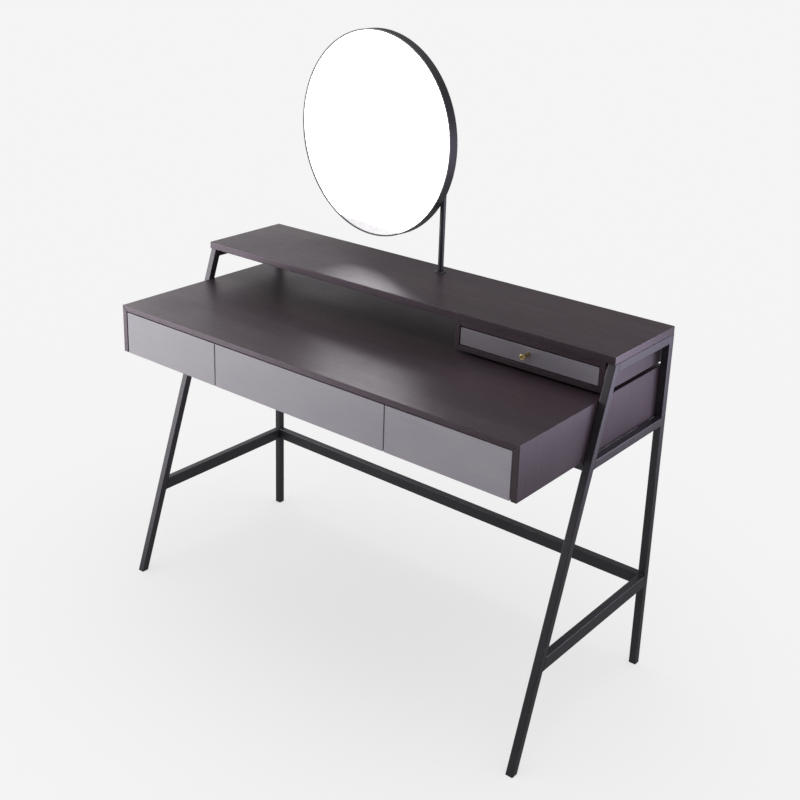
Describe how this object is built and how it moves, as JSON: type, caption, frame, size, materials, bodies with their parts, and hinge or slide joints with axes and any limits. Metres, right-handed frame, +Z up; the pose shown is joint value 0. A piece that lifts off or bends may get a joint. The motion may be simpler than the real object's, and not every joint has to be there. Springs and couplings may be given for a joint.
{
  "type": "vanity table with mirror",
  "caption": "Dressing table on a slim black steel frame, with wide drawers under the top, a raised shelf over a small drawer, and a round mirror that swivels on an off-centre post.",
  "frame": {"origin": "on the floor, under the middle of the overall box", "axes": "+X to the right as seen from the front, -Y towards the user, +Z up"},
  "size_m": [1.2, 0.568, 1.424],
  "materials": {
    "frame_steel": "satin black powder coat",
    "mirror_steel": "satin black powder coat",
    "dark_veneer": "dark stained veneer, satin lacquer, fine straight grain",
    "grey_lacquer": "satin grey lacquer with a faint brushed grain",
    "drawer_board": "grey foil-faced board, satin",
    "mirror_glass": "silvered glass",
    "mirror_core_board": "black-faced fibreboard, matt",
    "brass": "polished brass",
    "bright_steel": "zinc-plated steel",
    "black_plastic": "black moulded plastic"
  },
  "bodies": {
    "table": {"case_back": "dark_veneer", "case_bottom": "dark_veneer", "case_left_divider": "dark_veneer", "case_left_side": "dark_veneer", "case_right_divider": "dark_veneer", "case_right_side": "dark_veneer", "desk_top": "dark_veneer", "front_cross_rail": "frame_steel", "left_drawer_left_runner": "bright_steel", "left_drawer_right_runner": "bright_steel", "left_front_glide": "black_plastic", "left_front_leg": "frame_steel", "left_lower_stretcher": "frame_steel", "left_mid_rail": "frame_steel", "left_rear_glide": "black_plastic", "left_rear_leg": "frame_steel", "left_top_rail": "frame_steel", "middle_drawer_left_runner": "bright_steel", "middle_drawer_right_runner": "bright_steel", "mirror_flange": "mirror_steel", "rear_cross_rail": "frame_steel", "rear_lower_stretcher": "frame_steel", "right_drawer_left_runner": "bright_steel", "right_drawer_right_runner": "bright_steel", "right_front_glide": "black_plastic", "right_front_leg": "frame_steel", "right_lower_stretcher": "frame_steel", "right_mid_rail": "frame_steel", "right_rear_glide": "black_plastic", "right_rear_leg": "frame_steel", "right_top_rail": "frame_steel", "shelf": "dark_veneer", "small_box_back": "dark_veneer", "small_box_bottom": "dark_veneer", "small_box_left_side": "dark_veneer", "small_box_right_side": "dark_veneer", "small_box_top": "dark_veneer"},
    "left_drawer": {"left_drawer_back": "drawer_board", "left_drawer_bottom": "drawer_board", "left_drawer_front": "grey_lacquer", "left_drawer_left_side": "drawer_board", "left_drawer_right_side": "drawer_board"},
    "middle_drawer": {"middle_drawer_back": "drawer_board", "middle_drawer_bottom": "drawer_board", "middle_drawer_front": "grey_lacquer", "middle_drawer_left_side": "drawer_board", "middle_drawer_right_side": "drawer_board"},
    "right_drawer": {"right_drawer_back": "drawer_board", "right_drawer_bottom": "drawer_board", "right_drawer_front": "grey_lacquer", "right_drawer_left_side": "drawer_board", "right_drawer_right_side": "drawer_board"},
    "small_drawer": {"small_drawer_front": "grey_lacquer", "small_drawer_knob": "brass", "small_drawer_tray": "drawer_board"},
    "mirror": {"mirror_core": "mirror_core_board", "mirror_glass": "mirror_glass", "mirror_nut": "bright_steel", "mirror_post": "mirror_steel", "mirror_rim": "mirror_steel"}
  },
  "joints": [
    {"name": "left_drawer_slide", "type": "slide", "parent": "table", "child": "left_drawer", "axis": [0, -1, 0], "range_m": [0, 0.33]},
    {"name": "middle_drawer_slide", "type": "slide", "parent": "table", "child": "middle_drawer", "axis": [0, -1, 0], "range_m": [0, 0.33]},
    {"name": "right_drawer_slide", "type": "slide", "parent": "table", "child": "right_drawer", "axis": [0, -1, 0], "range_m": [0, 0.33]},
    {"name": "small_drawer_slide", "type": "slide", "parent": "table", "child": "small_drawer", "axis": [0, -1, 0], "range_m": [0, 0.15]},
    {"name": "mirror_swivel", "type": "hinge", "parent": "table", "child": "mirror", "pos_m": [-0.0045, 0.238, 0.856], "axis": [0, 0, 1], "range_deg": [-90, 90]}
  ]
}
